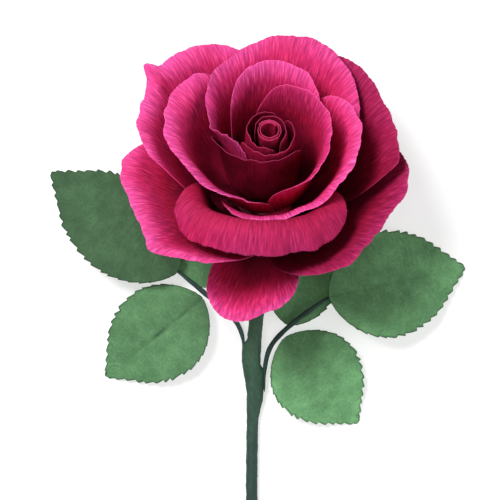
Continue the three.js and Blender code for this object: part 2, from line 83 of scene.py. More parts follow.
# Each petal: its layer, how far it spirals inwards over 120 degrees, how much of its roll is cut away
# (spare), what it adds to its layer's angles (middle, rim), the layers that it drifts by at given azimuths,
# how squarely its corners turn, the size of its grooves (crinkle) and waves (swell), how far its colour gets
# from the crimson foot to the pink rim (tone, whose dark foot end is partly painted shade deep in the
# flower), how much painted shade darkens the whole petal where it lies in the shadow of other petals (shade),
# and its
# outline from end to end: azimuth, length of the paper there, and extra flare.
BUD = dict(spiral=0.6, spare=0, rim=-6, corner=16, crinkle=0.4, swell=0.25, painted_shade=0.72)
PETALS = {
    "bud_petal_1": dict(BUD, layer=0.9, middle=2, tone=0.54, outline=[
        (-60, 34.5, -5), (0, 35.5, 0), (60, 35.5, 0), (120, 35, 1), (180, 33.5, 0)]),
    "bud_petal_2": dict(BUD, layer=1.8, middle=2, tone=0.54, outline=[
        (60, 35.5, -3), (120, 36.5, 0), (180, 36, 1.5), (240, 34.5, 3), (300, 33.5, 2)]),
    "bud_petal_3": dict(BUD, layer=2.7, middle=1, tone=0.56, outline=[
        (180, 35, -4), (240, 35.5, -3), (300, 35, 0), (360, 35.5, 2.5), (420, 34.5, 3)]),
    "cup_petal_front": dict(
        layer=4.2, spiral=1.4, spare=0, corner=12, crinkle=0.5, swell=0.3, tone=0.46, painted_shade=0.6,
        drift=[(156, 1.3), (190, 1.0), (215, 0.6), (257, 0), (350, 0)],
        outline=[(156, 30, -3), (163, 32.5, -7), (172, 34.5, -11), (185, 35, -18), (203, 35, -17),
                 (228, 35, -14), (257, 35, -6), (295, 35, -2.5), (329, 35, 6), (350, 33.5, 14)]),
    "cup_petal_right": dict(layer=4.8, spiral=1.3, spare=0, crinkle=0.7, swell=0.35, tone=0.9, outline=[
        (-93, 35, -2), (-72, 38, 4), (-43, 40, 9), (-16, 42.5, 9), (5, 45.5, 8), (30, 47, 4), (56, 47, 2),
        (83, 45, 0), (120, 38, 0)]),
    "cup_petal_back": dict(layer=5.6, spiral=1.0, spare=0, crinkle=0.9, swell=0.4, outline=[
        (24, 40, 0), (45, 43.5, 0), (65, 47.5, 0), (85, 49, 0), (108, 48, 0), (125, 45, 0), (150, 36, 0)]),
    "middle_petal_left": dict(layer=7.4, spiral=1.2, spare=2, crinkle=0.7, outline=[
        (108, 41, 0), (122, 45, 0), (136, 48.5, 0), (150, 49, 0), (170, 50, 0), (185, 49.5, 0),
        (198, 44, 0), (213, 36, 0), (232, 31, -5), (256, 29, -6), (276, 28, -2)]),
    "middle_petal_right": dict(layer=7.4, spiral=1.1, spare=3, crinkle=0.7, outline=[
        (216, 29, 0), (245, 30, 0), (278, 32.5, 0), (300, 36, 0), (320, 40.5, 0), (342, 44.5, 0),
        (363, 47, 0), (384, 46.5, 0), (402, 44, 0), (420, 38, 0)]),
    "middle_petal_top": dict(
        layer=7.2, spiral=1.2, spare=0, corner=12, crinkle=1.4, tone=0.96, painted_shade=0.82,
        drift=[(0, 0), (100, 0), (130, -0.4), (150, -1.0), (172, -1.9), (190, -2.3), (234, -2.5)],
        outline=[(0, 34, 0), (27, 43, 0), (45, 49.5, 0), (68, 53, 0), (88, 51.5, 0), (110, 47, 2),
                 (132, 43.5, 8), (145, 39.5, 8), (155, 36.5, 12), (165, 35, 16), (173, 34.5, 9),
                 (186, 35.5, -1), (200, 35.5, -4), (220, 35.5, -3), (234, 35, -1)]),
    "outer_petal_top_left": dict(layer=10.0, spiral=1.2, spare=5, outline=[
        (84, 42, 0), (104, 46, 0), (122, 51.5, 0), (138, 54, 0), (145, 55.5, 0), (149, 60, 0),
        (153, 55.5, 0), (160, 53.5, 0), (176, 54, 0), (192, 51.5, 0), (208, 46, 0)]),
    "outer_petal_front": dict(
        layer=9.9, spiral=1.2, spare=-4, middle=-12, rim=40, crinkle=1.4, tone=0.86, painted_shade=0.66,
        drift=[(198, 0), (290, 0), (332, 0.9)],
        outline=[(198, 40, -20), (212, 47, -12), (228, 55, 0), (246, 60, 0), (262, 61, 0), (280, 57, 0),
                 (298, 52, 0), (316, 47, -8), (332, 41, -12)]),
    "outer_petal_right": dict(layer=10.0, spiral=1.2, spare=8, tone=0.86, painted_shade=0.48, outline=[
        (-24, 46, 0), (-17, 51, 0), (-12, 55, 0), (-6, 52, 0), (4, 49.5, 0), (22, 48.5, 0), (44, 50, 0),
        (64, 48, 0), (84, 44, 0)]),
    "lower_petal_left": dict(layer=12.3, spiral=1.2, spare=8, middle=-6, outline=[
        (156, 36, 0), (172, 43, 0), (189, 49, 0), (202, 49.5, 0), (214, 53.5, 0), (223, 59, 0),
        (229, 65, 0), (235, 61, 0), (244, 58, 0), (254, 54, 0), (264, 46, 0)]),
    "lower_petal_right": dict(layer=12.3, spiral=1.2, spare=12, middle=-6, tone=0.88, painted_shade=0.52, outline=[
        (270, 38, 0), (286, 47, 0), (305, 49.8, 0), (322, 46.8, 0), (342, 50, 0), (358, 47.5, 0),
        (376, 40, 0)]),
    "lower_petal_back": dict(layer=12.3, spiral=1.2, spare=13, outline=[
        (36, 36, 0), (60, 42, 0), (84, 44, 0), (108, 42, 0), (132, 36, 0)]),
    "lowest_petal_front": dict(layer=14.0, spiral=1.0, spare=15, tone=0.96, painted_shade=0.88, outline=[
        (234, 22, 0), (244, 38, 0), (257, 48.5, 0), (270, 43, 0), (282, 34, 0), (292, 20, 0)]),
    "lowest_petal_left": dict(layer=14.0, spiral=1.0, spare=33, middle=12, outline=[
        (108, 20, 0), (138, 29, 0), (168, 20, 0)]),
    "lowest_petal_right": dict(layer=14.0, spiral=1.0, spare=31, middle=12, outline=[
        (12, 22, 0), (42, 31, 0), (72, 22, 0)]),
}

# ---- Helpers ---------------------------------------------------------------------------------------------


def smooth(x):
    """Smooth step from 0 to 1."""
    x = np.clip(x, 0, 1)
    return x * x * (3 - 2 * x)


def curve_through(places, values, x):
    """Smooth curve through a few given values (cubic pieces whose slopes come from their neighbours)."""
    places, values = np.asarray(places, float), np.asarray(values, float)
    slopes = np.gradient(values, places)
    k = np.clip(np.searchsorted(places, x) - 1, 0, len(places) - 2)
    width = places[k + 1] - places[k]
    t = (x - places[k]) / width
    return (
        values[k] * (1 + 2 * t) * (1 - t) ** 2 + values[k + 1] * t * t * (3 - 2 * t)
        + width * (slopes[k] * t * (1 - t) ** 2 - slopes[k + 1] * t * t * (1 - t))
    )


def profile_curves(petal, layer, length, flare, samples=140):
    """Radius and height along the paper for every column, sampled from the foot to just past its rim."""
    foot, middle, rim, roll = (np.interp(layer, LAYERS[:, 0], LAYERS[:, k]) for k in range(1, 5))
    middle = middle + petal.get("middle", 0) + flare / 2
    rim = rim + petal.get("rim", 0) + flare
    whole = length + petal["spare"]
    reach = PROFILE_REACH * length
    s = np.linspace(0, 1, samples)[:, None] * reach
    rise = (middle - foot) * smooth(s / (RISE_PART * whole))
    turn = (rim - middle) * smooth((s - whole + roll) / (ROLL_EASE * roll))
    angle = np.radians(foot + rise + turn)
    between = (angle[1:] + angle[:-1]) / 2
    step = reach / (samples - 1)
    still = np.zeros_like(angle[:1])
    radius = FOOT_RADIUS + LAYER_PITCH * layer + np.vstack([still, np.cumsum(np.sin(between) * step, axis=0)])
    height = FOOT_HEIGHT - FOOT_FALL * layer + np.vstack([still, np.cumsum(np.cos(between) * step, axis=0)])
    return reach, radius, height


def on_profile(distance, reach, radius, height):
    """Radius and height at given distances along the paper, column by column of sampled profiles."""
    position = distance / reach * (len(radius) - 1)
    k = np.clip(position.astype(int), 0, len(radius) - 2)
    part = position - k
    column = np.arange(radius.shape[1])[None, :]
    return [curve[k, column] * (1 - part) + curve[k + 1, column] * part for curve in (radius, height)]


def petal_outline(petal, azimuth):
    """Layer, length, flare, foot and rim distances for every column of a petal."""
    places, lengths, flares = np.array(petal["outline"], float).T
    centre, half = (places[0] + places[-1]) / 2, (places[-1] - places[0]) / 2
    across = (azimuth - centre) / half
    layer = petal["layer"] - petal["spiral"] * (azimuth - centre) / 120
    if "drift" in petal:
        layer = layer + curve_through(*zip(*petal["drift"]), azimuth)
    length = curve_through(places, lengths, azimuth)
    flare = curve_through(places, flares, azimuth)
    foot = FOOT_NOTCH * length * across ** 2
    corner = petal.get("corner", END_ROUNDING)
    full = np.maximum(np.sqrt(np.clip(1 - np.abs(across) ** corner, 0, 1)), 0.05)
    return across, layer, length, flare, foot, foot + (length - foot) * full


def wave_noise(x, rng, lowest, highest, count=7, wander=0.0, along=0.0):
    """Smooth random wave of about unit height, with `lowest` to `highest` turns per unit of x.

    Its phase can wander with the second coordinate, `along`.
    """
    total = np.zeros(np.broadcast(x, along).shape)
    for frequency in np.linspace(lowest, highest, count):
        size, phase = rng.uniform(0.6, 1.0), rng.uniform()
        drift, bend = rng.uniform(-1, 1), rng.uniform()
        shift = wander * drift * np.sin(2 * math.pi * (along + bend))
        total += size * np.sin(2 * math.pi * (frequency * x + phase + shift))
    return total / math.sqrt(count)


def flower_to_world(points):
    """Millimetre points in the flower's own frame (axis along z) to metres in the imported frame."""
    x, y, h = points[..., 0], points[..., 1], points[..., 2]
    lying = [
        x,
        y * math.cos(TILT) + h * math.sin(TILT),
        FLOOR_DROP - y * math.sin(TILT) + h * math.cos(TILT),
    ]
    return rose_to_world(np.stack(lying, -1))


def rose_to_world(points):
    """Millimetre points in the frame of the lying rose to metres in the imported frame."""
    return (np.asarray(points, float) + SHIFT) * MM


def around(r, phi, h):
    """Points at radius r, angle phi and height h."""
    return np.stack(np.broadcast_arrays(r * np.cos(phi), r * np.sin(phi), h), -1)


def walk(points):
    """Distance along a line of points."""
    return np.concatenate([[0], np.cumsum(np.linalg.norm(np.diff(points, axis=0), axis=1))])


def rings_along(centres, sides):
    """Angles of the points round a line of centres, and the unit vectors out to them at every centre."""
    tangent = np.gradient(centres, axis=0)
    tangent /= np.linalg.norm(tangent, axis=1, keepdims=True)
    level = np.stack([-tangent[:, 1], tangent[:, 0], 0 * tangent[:, 0]], 1)
    level /= np.linalg.norm(level, axis=1, keepdims=True)
    upright = np.cross(tangent, level)
    angle = 2 * math.pi * np.arange(sides) / sides
    outwards = np.cos(angle)[None, :, None] * level[:, None, :]
    return angle, outwards + np.sin(angle)[None, :, None] * upright[:, None, :]


def normals_of(grid):
    """Unit normals of a grid of points."""
    along = np.gradient(grid, axis=0)
    across = np.gradient(grid, axis=1)
    normal = np.cross(across, along)
    return normal / (np.linalg.norm(normal, axis=-1, keepdims=True) + 1e-12)


def mesh_piece(name, points, faces, uvs, values, material, node):
    """New piece from world points, face arrays, the UV of every face corner and named point values."""
    mesh = bpy.data.meshes.new(name)
    mesh.vertices.add(len(points))
    mesh.vertices.foreach_set("co", np.ascontiguousarray(points, float).ravel())
    corners = np.concatenate([group.ravel() for group in faces]).astype(np.int32)
    sizes = np.concatenate([np.full(len(group), group.shape[1]) for group in faces])
    starts = np.concatenate([[0], np.cumsum(sizes)[:-1]]).astype(np.int32)
    mesh.loops.add(len(corners))
    mesh.loops.foreach_set("vertex_index", corners)
    mesh.polygons.add(len(sizes))
    mesh.polygons.foreach_set("loop_start", starts)
    mesh.polygons.foreach_set("use_smooth", np.ones(len(sizes), bool))
    mesh.update(calc_edges=True)
    uv_values = np.concatenate([group.reshape(-1, 2) for group in uvs]).astype(np.float32)
    mesh.uv_layers.new(name="paper").data.foreach_set("uv", uv_values.ravel())
    for key, value in values.items():
        attribute = mesh.attributes.new(key, "FLOAT", "POINT")
        attribute.data.foreach_set("value", value.astype(np.float32))
    mesh.materials.append(material)
    piece = bpy.data.objects.new(name, mesh)
    bpy.context.collection.objects.link(piece)
    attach(piece, "root")
    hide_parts(node)
    return piece


def sheet_piece(name, node, grid, thickness, uv, values, material, to_world):
    """Thin closed shell round a grid of points: two faces and an edge all round."""
    rows, columns = grid.shape[:2]
    half = normals_of(grid) * thickness[..., None] / 2
    points = np.concatenate([(grid + half).reshape(-1, 3), (grid - half).reshape(-1, 3)])
    count = rows * columns
    index = np.arange(count).reshape(rows, columns)
    a, b = index[:-1, :-1].ravel(), index[:-1, 1:].ravel()
    c, d = index[1:, 1:].ravel(), index[1:, :-1].ravel()
    edge = np.concatenate([index[0, :-1], index[:-1, -1], index[-1, :0:-1], index[:0:-1, 0]])
    following = np.roll(edge, -1)
    faces = [
        np.stack([a, b, c, d], 1),
        np.stack([a, d, c, b], 1) + count,
        np.stack([following, edge, edge + count, following + count], 1),
    ]
    both = np.concatenate([uv.reshape(-1, 2)] * 2)
    doubled = {key: np.concatenate([value.ravel()] * 2) for key, value in values.items()}
    uvs = [both[group] for group in faces]
    return mesh_piece(name, to_world(points), faces, uvs, doubled, material, node)


def tube_quads(rows, columns, uv):
    """Quads of a closed tube of points and the UVs of their corners; `uv` has one more column."""
    grid = np.meshgrid(np.arange(rows - 1), np.arange(columns), indexing="ij")
    j, i = (index.ravel() for index in grid)
    after = (i + 1) % columns
    above = (j + 1) * columns
    quads = np.stack([j * columns + i, j * columns + after, above + after, above + i], 1)
    return quads, np.stack([uv[j, i], uv[j, i + 1], uv[j + 1, i + 1], uv[j + 1, i]], 1)


def ring_piece(name, node, outer, inner, uv, values, material, to_world):
    """Closed body round an axis: rows of an outer and an inner face whose last column meets the first."""
    rows, columns = outer.shape[:2]
    points = np.concatenate([outer.reshape(-1, 3), inner.reshape(-1, 3)])
    count = rows * columns
    quads, quad_uv = tube_quads(rows, columns, uv)
    inside_out = [0, 3, 2, 1]
    round_ = np.arange(columns)
    beyond = (round_ + 1) % columns
    last = (rows - 1) * columns
    faces = [
        quads,
        quads[:, inside_out] + count,
        np.stack([beyond, round_, round_ + count, beyond + count], 1),
        np.stack([last + round_, last + beyond, last + beyond + count, last + round_ + count], 1),
    ]
    start_uv = np.stack([uv[0, round_ + 1], uv[0, round_], uv[0, round_], uv[0, round_ + 1]], 1)
    end_uv = np.stack([uv[-1, round_], uv[-1, round_ + 1], uv[-1, round_ + 1], uv[-1, round_]], 1)
    doubled = {key: np.concatenate([value.ravel()] * 2) for key, value in values.items()}
    uvs = [quad_uv, quad_uv[:, inside_out], start_uv, end_uv]
    return mesh_piece(name, to_world(points), faces, uvs, doubled, material, node)


def rod_piece(name, node, centres, radius, values, material):
    """Solid rod along a line of centres; `radius` has a row for each centre and a column for each side."""
    rows, sides = radius.shape
    _, ring = rings_along(centres, sides)
    skin = centres[:, None, :] + ring * radius[..., None]
    turn = np.arange(sides + 1) * 2 * math.pi * radius.mean() / sides
    uv = np.stack(np.broadcast_arrays(turn[None, :], walk(centres)[:, None]), -1)
    points = np.concatenate([skin.reshape(-1, 3), centres[[0, -1]]])
    quads, quad_uv = tube_quads(rows, sides, uv)
    round_ = np.arange(sides)
    beyond = (round_ + 1) % sides
    start, end, last = rows * sides, rows * sides + 1, (rows - 1) * sides
    caps = [
        np.stack([beyond, round_, np.full(sides, start)], 1),
        np.stack([last + round_, last + beyond, np.full(sides, end)], 1),
    ]
    cap_uv = [np.stack([uv[row, round_]] * 3, 1) for row in (0, -1)]
    spread = {key: np.concatenate([value.ravel(), value[0, :1], value[-1, :1]])
              for key, value in values.items()}
    return mesh_piece(name, rose_to_world(points), [quads, *caps], [quad_uv, *cap_uv], spread, material,
                      node)


def spline(points, samples):
    """Centripetal Catmull-Rom curve through given points, with evenly spaced samples."""
    points = np.asarray(points, float)
    padded = np.vstack([2 * points[0] - points[1], points, 2 * points[-1] - points[-2]])
    fine = []
    for p0, p1, p2, p3 in zip(padded, padded[1:], padded[2:], padded[3:]):
        t0 = 0.0
        t1 = t0 + np.linalg.norm(p1 - p0) ** 0.5
        t2 = t1 + np.linalg.norm(p2 - p1) ** 0.5
        t3 = t2 + np.linalg.norm(p3 - p2) ** 0.5
        t = np.linspace(t1, t2, 40, endpoint=False)[:, None]
        a1 = (t1 - t) / (t1 - t0) * p0 + (t - t0) / (t1 - t0) * p1
        a2 = (t2 - t) / (t2 - t1) * p1 + (t - t1) / (t2 - t1) * p2
        a3 = (t3 - t) / (t3 - t2) * p2 + (t - t2) / (t3 - t2) * p3
        b1 = (t2 - t) / (t2 - t0) * a1 + (t - t0) / (t2 - t0) * a2
        b2 = (t3 - t) / (t3 - t1) * a2 + (t - t1) / (t3 - t1) * a3
        fine.append((t2 - t) / (t2 - t1) * b1 + (t - t1) / (t2 - t1) * b2)
    fine = np.vstack([*fine, points[-1:]])
    walked = walk(fine)
    even = np.linspace(0, walked[-1], samples)
    return np.stack([np.interp(even, walked, fine[:, axis]) for axis in range(3)], 1)


# ---- Materials -------------------------------------------------------------------------------------------


class Nodes:
    """Short way to add and join shader nodes in one material."""

    def __init__(self, name):
        self.material = bpy.data.materials.new(name)
        self.material.use_nodes = True
        self.tree = self.material.node_tree
        self.shader = self.tree.nodes["Principled BSDF"]
        self.output = self.tree.nodes["Material Output"]

    def add(self, kind, values=None, **settings):
        node = self.tree.nodes.new("ShaderNode" + kind)
        for key, value in settings.items():
            setattr(node, key, value)
        for key, value in (values or {}).items():
            if isinstance(value, bpy.types.NodeSocket):
                self.tree.links.new(value, node.inputs[key])
            else:
                node.inputs[key].default_value = value
        return node

    def link(self, source, target):
        self.tree.links.new(source, target)

    def set(self, **values):
        for key, value in values.items():
            self.shader.inputs[key.replace("_", " ")].default_value = value

    def ramp(self, factor, stops):
        """Colour ramp; a stop's colour may be one number for a grey."""
        node = self.add("ValToRGB", {"Fac": factor})
        elements = node.color_ramp.elements
        while len(elements) < len(stops):
            elements.new(0.5)
        for element, (place, colour) in zip(elements, stops):
            element.position = place
            element.color = (*colour, 1) if isinstance(colour, tuple) else (colour, colour, colour, 1)
        return node.outputs["Color"]

    def mix(self, factor, a, b, blend="MIX"):
        node = self.add("Mix", data_type="RGBA", blend_type=blend)
        for socket, value in ((node.inputs[0], factor), (node.inputs[6], a), (node.inputs[7], b)):
            if isinstance(value, bpy.types.NodeSocket):
                self.link(value, socket)
            elif isinstance(value, tuple):
                socket.default_value = (*value, 1)
            else:
                socket.default_value = value
        return node.outputs[2]

    def noise(self, scale_u, scale_v, detail=4.0, roughness=0.55, place=None):
        """Noise over the paper's own millimetres, stretched along or across it, or over `place` if given."""
        if place is None:
            place = self.add("UVMap", uv_map="paper").outputs["UV"]
        mapping = self.add("Mapping", {"Vector": place, "Scale": (scale_u, scale_v, scale_u)})
        noise = self.add("TexNoise", {
            "Vector": mapping.outputs["Vector"], "Scale": 1.0, "Detail": detail, "Roughness": roughness,
        })
        return noise.outputs["Fac"]

    def value(self, name):
        return self.add("Attribute", attribute_name=name).outputs["Fac"]

    def bump(self, height, strength, distance_mm, below=None):
        node = self.add("Bump", {"Height": height, "Strength": strength, "Distance": distance_mm * MM})
        if below is not None:
            self.link(below, node.inputs["Normal"])
        return node.outputs["Normal"]

    def paper_output(self, colour, normal, share, through):
        """Principled paper with a share of light let through the sheet."""
        self.link(colour, self.shader.inputs["Base Color"])
        self.link(normal, self.shader.inputs["Normal"])
        glow = self.add("BsdfTranslucent", {"Color": through, "Normal": normal})
        both = self.add("MixShader", {0: share, 1: self.shader.outputs["BSDF"], 2: glow.outputs["BSDF"]})
        self.link(both.outputs["Shader"], self.output.inputs["Surface"])
        return self.material


def crepe_material():
    """Dyed crepe: crimson at the foot, pink at the rim, with grooves that run up the petal. The near-black
    foot, the grooves' dark troughs and pale crests, and whole darker petals are painted shade and highlight.
    """
    n = Nodes("crepe_petal")
    # Pink at the rim down to crimson; the near-black low end is painted shade deep in the flower.
    base = n.ramp(n.value("tone"), [
        (0.0, (0.045, 0.001, 0.005)),
        (0.35, (0.15, 0.003, 0.016)),
        (0.62, (0.50, 0.012, 0.066)),
        (0.84, (0.68, 0.032, 0.175)),
        (1.0, (0.82, 0.088, 0.365)),
    ])
    ridges = n.noise(1.5, 0.15, 4.0, 0.62)
    fine = n.noise(3.2, 0.35, 3.0, 0.6)
    # Painted shade and highlight of the grooves: troughs darkened, crests lightened.
    colour = n.mix(1.0, base, n.ramp(ridges, [(0.32, 0.58), (0.5, 1.0), (0.68, 1.5)]), "MULTIPLY")
    # Painted highlight: paler, bluer pink on the highest crests, as if they caught the light.
    painted_highlight = n.ramp(ridges, [(0.56, 0.0), (0.74, 0.55)])
    colour = n.mix(painted_highlight, colour, n.mix(1.0, base, (1.35, 4.0, 1.7), "MULTIPLY"))
    blotch = n.noise(0.06, 0.05, 2.0, 0.5)
    colour = n.mix(n.ramp(blotch, [(0.42, 0.0), (0.75, 0.45)]), colour, (0.66, 0.016, 0.085))
    pale = n.ramp(n.value("edge"), [(0.0, 0.4), (0.03, 0.0)])
    colour = n.mix(pale, colour, (0.84, 0.10, 0.32))
    # Painted shade: whole petals darkened where they lie in the shadow of other petals.
    colour = n.mix(1.0, colour, n.value("painted_shade"), "MULTIPLY")
    n.set(Roughness=0.62, Specular_IOR_Level=0.12, Specular_Tint=(1.0, 0.5, 0.75, 1))
    normal = n.bump(ridges, 0.9, 0.50, n.bump(fine, 0.6, 0.12))
    return n.paper_output(colour, normal, 0.10, n.mix(0.6, colour, (0.55, 0.006, 0.035)))


def leaf_material(name, light):
    """Mottled green paper; `light` brightens the whole leaf, partly as its own green and partly as painted
    light that lifts leaves lying in the flower's shadow.
    """
    n = Nodes(name)
    mottle = n.noise(0.16, 0.16, 6.0, 0.68)
    fibre = n.noise(1.1, 1.1, 5.0, 0.7)
    patches = n.noise(0.05, 0.04, 2.0, 0.5)
    greens = [(0.28, (0.066, 0.165, 0.072)), (0.5, (0.092, 0.222, 0.096)), (0.74, (0.128, 0.292, 0.128))]
    colour = n.ramp(mottle, [(place, tuple(light * part for part in green)) for place, green in greens])
    colour = n.mix(1.0, colour, n.ramp(fibre, [(0.3, 0.78), (0.7, 1.16)]), "MULTIPLY")
    colour = n.mix(1.0, colour, n.ramp(patches, [(0.35, 0.84), (0.7, 1.12)]), "MULTIPLY")
    colour = n.mix(n.ramp(n.value("edge"), [(0.0, 0.8), (0.07, 0.0)]), colour, (0.018, 0.050, 0.022))
    colour = n.mix(n.ramp(n.value("rib"), [(0.0, 0.0), (1.0, 0.8)]), colour, (0.016, 0.050, 0.022))
    n.set(Roughness=0.72, Specular_IOR_Level=0.22)
    normal = n.bump(mottle, 0.5, 0.8, n.bump(fibre, 0.5, 0.14))
    return n.paper_output(colour, normal, 0.10, colour)


def tape_material(name, upper, lower, on_uv=True):
    """Stretched crepe tape: lengthways fibres, faint blotches, and one colour turning into another."""
    n = Nodes(name)
    where = None if on_uv else n.add("Mapping", {
        "Vector": n.add("TexCoord").outputs["Object"], "Scale": (1 / MM, 1 / MM, 1 / MM),
    }).outputs["Vector"]
    fibre = n.noise(1.5, 0.45, 4.0, 0.62, where)
    mottle = n.noise(0.22, 0.10, 3.0, 0.55, where)
    colour = n.mix(n.value("tone"), lower, upper)
    colour = n.mix(1.0, colour, n.ramp(mottle, [(0.3, 0.72), (0.7, 1.22)]), "MULTIPLY")
    colour = n.mix(1.0, colour, n.ramp(fibre, [(0.3, 0.78), (0.7, 1.2)]), "MULTIPLY")
    n.link(colour, n.shader.inputs["Base Color"])
    n.link(n.bump(fibre, 0.6, 0.16), n.shader.inputs["Normal"])
    n.set(Roughness=0.6, Specular_IOR_Level=0.3)
    return n.material


def wire_material():
    """Drawn steel, with faint lines along the wire."""
    n = Nodes("bare_wire")
    drawn = n.noise(3.0, 0.15, 3.0, 0.5)
    n.link(n.ramp(drawn, [(0.3, 0.36), (0.7, 0.60)]), n.shader.inputs["Base Color"])
    n.link(n.bump(drawn, 0.3, 0.05), n.shader.inputs["Normal"])
    n.set(Metallic=1.0, Roughness=0.35)
    return n.material


# ---- Petals ----------------------------------------------------------------------------------------------

COLUMN_PITCH = 0.34  # millimetres of rim for each column of a petal's mesh
FEWEST_COLUMNS, MOST_COLUMNS = 110, 400
PETAL_ROWS = 35
ROW_CROWDING = 1.35  # power that brings the rows closer together towards the rim
END_CROWDING = 0.7  # how much closer the columns stand at a petal's round ends
END_FADE = 8  # power that calms all waves at a petal's ends
SMALLEST_RIM = 9.0
RIM_REACH, RIM_GROOVE_REACH = 9, 3.5  # how far in from the rim the waves and the ruffles die away
WAVE_WANDER = 70  # length of paper over which grooves and waves change their course
THIN_EDGE = 1.2  # width of the border in which a petal thins to half
EDGE_SPAN = 12  # distance from the rim over which the "edge" value runs from 0 to 1


def petal_piece(name, petal, material, rng):
    """One petal: its sheet on the layer's profile, with a ragged rim, crepe grooves and slow waves."""
    places, lengths, _ = np.array(petal["outline"], float).T
    low, high = places[0], places[-1]
    centre, half = (low + high) / 2, (high - low) / 2
    lean = math.radians(20 + 4.5 * petal["layer"])
    rim_radius = max(0.78 * lengths.max() * math.sin(lean), SMALLEST_RIM)
    width = math.radians(high - low) * rim_radius
    columns = int(np.clip(width / COLUMN_PITCH, FEWEST_COLUMNS, MOST_COLUMNS))
    t = np.linspace(-1, 1, columns)
    azimuth = centre + half * (t + END_CROWDING * np.sin(math.pi * t) / math.pi)
    across, layer, length, flare, foot, rim = petal_outline(petal, azimuth)
    place = np.radians(azimuth - centre) * rim_radius
    ragged = 0.30 * wave_noise(place, rng, 0.05, 0.16) + 0.14 * wave_noise(place, rng, 0.3, 0.9)
    free = np.clip(1 - np.abs(across) ** END_FADE, 0, 1)
    rim = rim + ragged * free
    v = (1 - (1 - np.linspace(0, 1, PETAL_ROWS)) ** ROW_CROWDING)[:, None]
    distance = foot + (rim - foot) * v
    r, h = on_profile(distance, *profile_curves(petal, layer, length, flare))
    grid = around(r, np.radians(azimuth)[None, :], h)

    to_rim = np.clip(length - distance, 0, None)
    near_rim, at_rim = np.exp(-to_rim / RIM_REACH), np.exp(-to_rim / RIM_GROOVE_REACH)
    along = distance / WAVE_WANDER
    crinkle = petal.get("crinkle", 1.0)
    ridges = wave_noise(place[None, :], rng, 0.6, 1.35, 11, 0.6, along)
    swell = wave_noise(place[None, :], rng, 0.035, 0.09, 4, 0.3, along)
    ruffle = wave_noise(place[None, :], rng, 0.12, 0.26, 5, 0.3, along)
    relief = crinkle * ridges * (0.035 + 0.095 * near_rim)
    relief = relief + petal.get("swell", 0.55) * swell * near_rim + 0.22 * crinkle * ruffle * at_rim
    grid = grid + normals_of(grid) * (relief * free)[..., None]

    uv = np.stack([place[None, :] + 0 * v, distance], -1)
    from_edge = np.clip(rim - distance, 0, None)
    thickness = PETAL_THICKNESS * (0.5 + 0.5 * smooth(from_edge / THIN_EDGE))
    # Tone's low end near the foot is partly painted shade deep in the flower; shade is painted shade on the
    # whole petal.
    values = {
        "tone": petal.get("tone", 1.0) * np.clip(distance / length, 0, 1),
        "painted_shade": petal.get("painted_shade", 1.0) + 0 * r,
        "edge": np.clip(from_edge / EDGE_SPAN, 0, 1),
    }
    title = name.replace("_petal", "_crepe_petal")
    return sheet_piece(title, name, grid, thickness, uv, values, material, flower_to_world)


BUD_TURNS = 2.3
BUD_FOOT, BUD_TOP = 7.2, 40.6
BUD_PAPER = 0.24


def bud_core_piece(material, rng):
    """A strip of crepe rolled round an open eye, a little over two turns from the eye outwards."""
    columns, rows = 260, 30
    turn = np.linspace(0, BUD_TURNS, columns)[None, :]
    v = np.linspace(0, 1, rows)[:, None]
    top = BUD_TOP - 0.9 * turn / BUD_TURNS + 0.10 * wave_noise(turn * 3, rng, 1, 5)
    h = BUD_FOOT + (top - BUD_FOOT) * v
    r = 1.2 + 0.55 * turn + (1.6 + 0.15 * turn) * smooth((v - 0.35) / 0.6)
    r = r + 0.05 * wave_noise(turn * 12, rng, 1, 3) * v
    grid = around(r, 2 * math.pi * turn + 0.6, h)
    uv = np.stack([4 * math.pi * turn + 0 * v, h], -1)
    # Tone falling towards the roll's foot is partly painted shade in the eye; shade is painted shade on the
    # whole roll.
    values = {
        "tone": 0.1 + 0.45 * v + 0 * r,
        "painted_shade": 0.75 + 0 * r,
        "edge": np.clip((top - h) / EDGE_SPAN, 0, 1),
    }
    return sheet_piece("bud_roll", "bud_core", grid, BUD_PAPER + 0 * r, uv, values, material,
                       flower_to_world)


# ---- Calyx -----------------------------------------------------------------------------------------------

SEPALS = 5
FIRST_SEPAL = -18
SEPAL_ROOT, SEPAL_LENGTH = 1.2, 19
CALYX_LAYER = 15.8
CALYX_CURVE = 62.0  # length of the petal profile that the sepals follow
CALYX_CUP = np.array([(3.5, -10.4), (8.2, -8.1), (12.6, -5.6), (14.6, -4.4)])  # radius and height
CUP_DEPTH = 12  # length of paper from the neck to the roots of the sepals
CALYX_LEAN = math.radians(80)


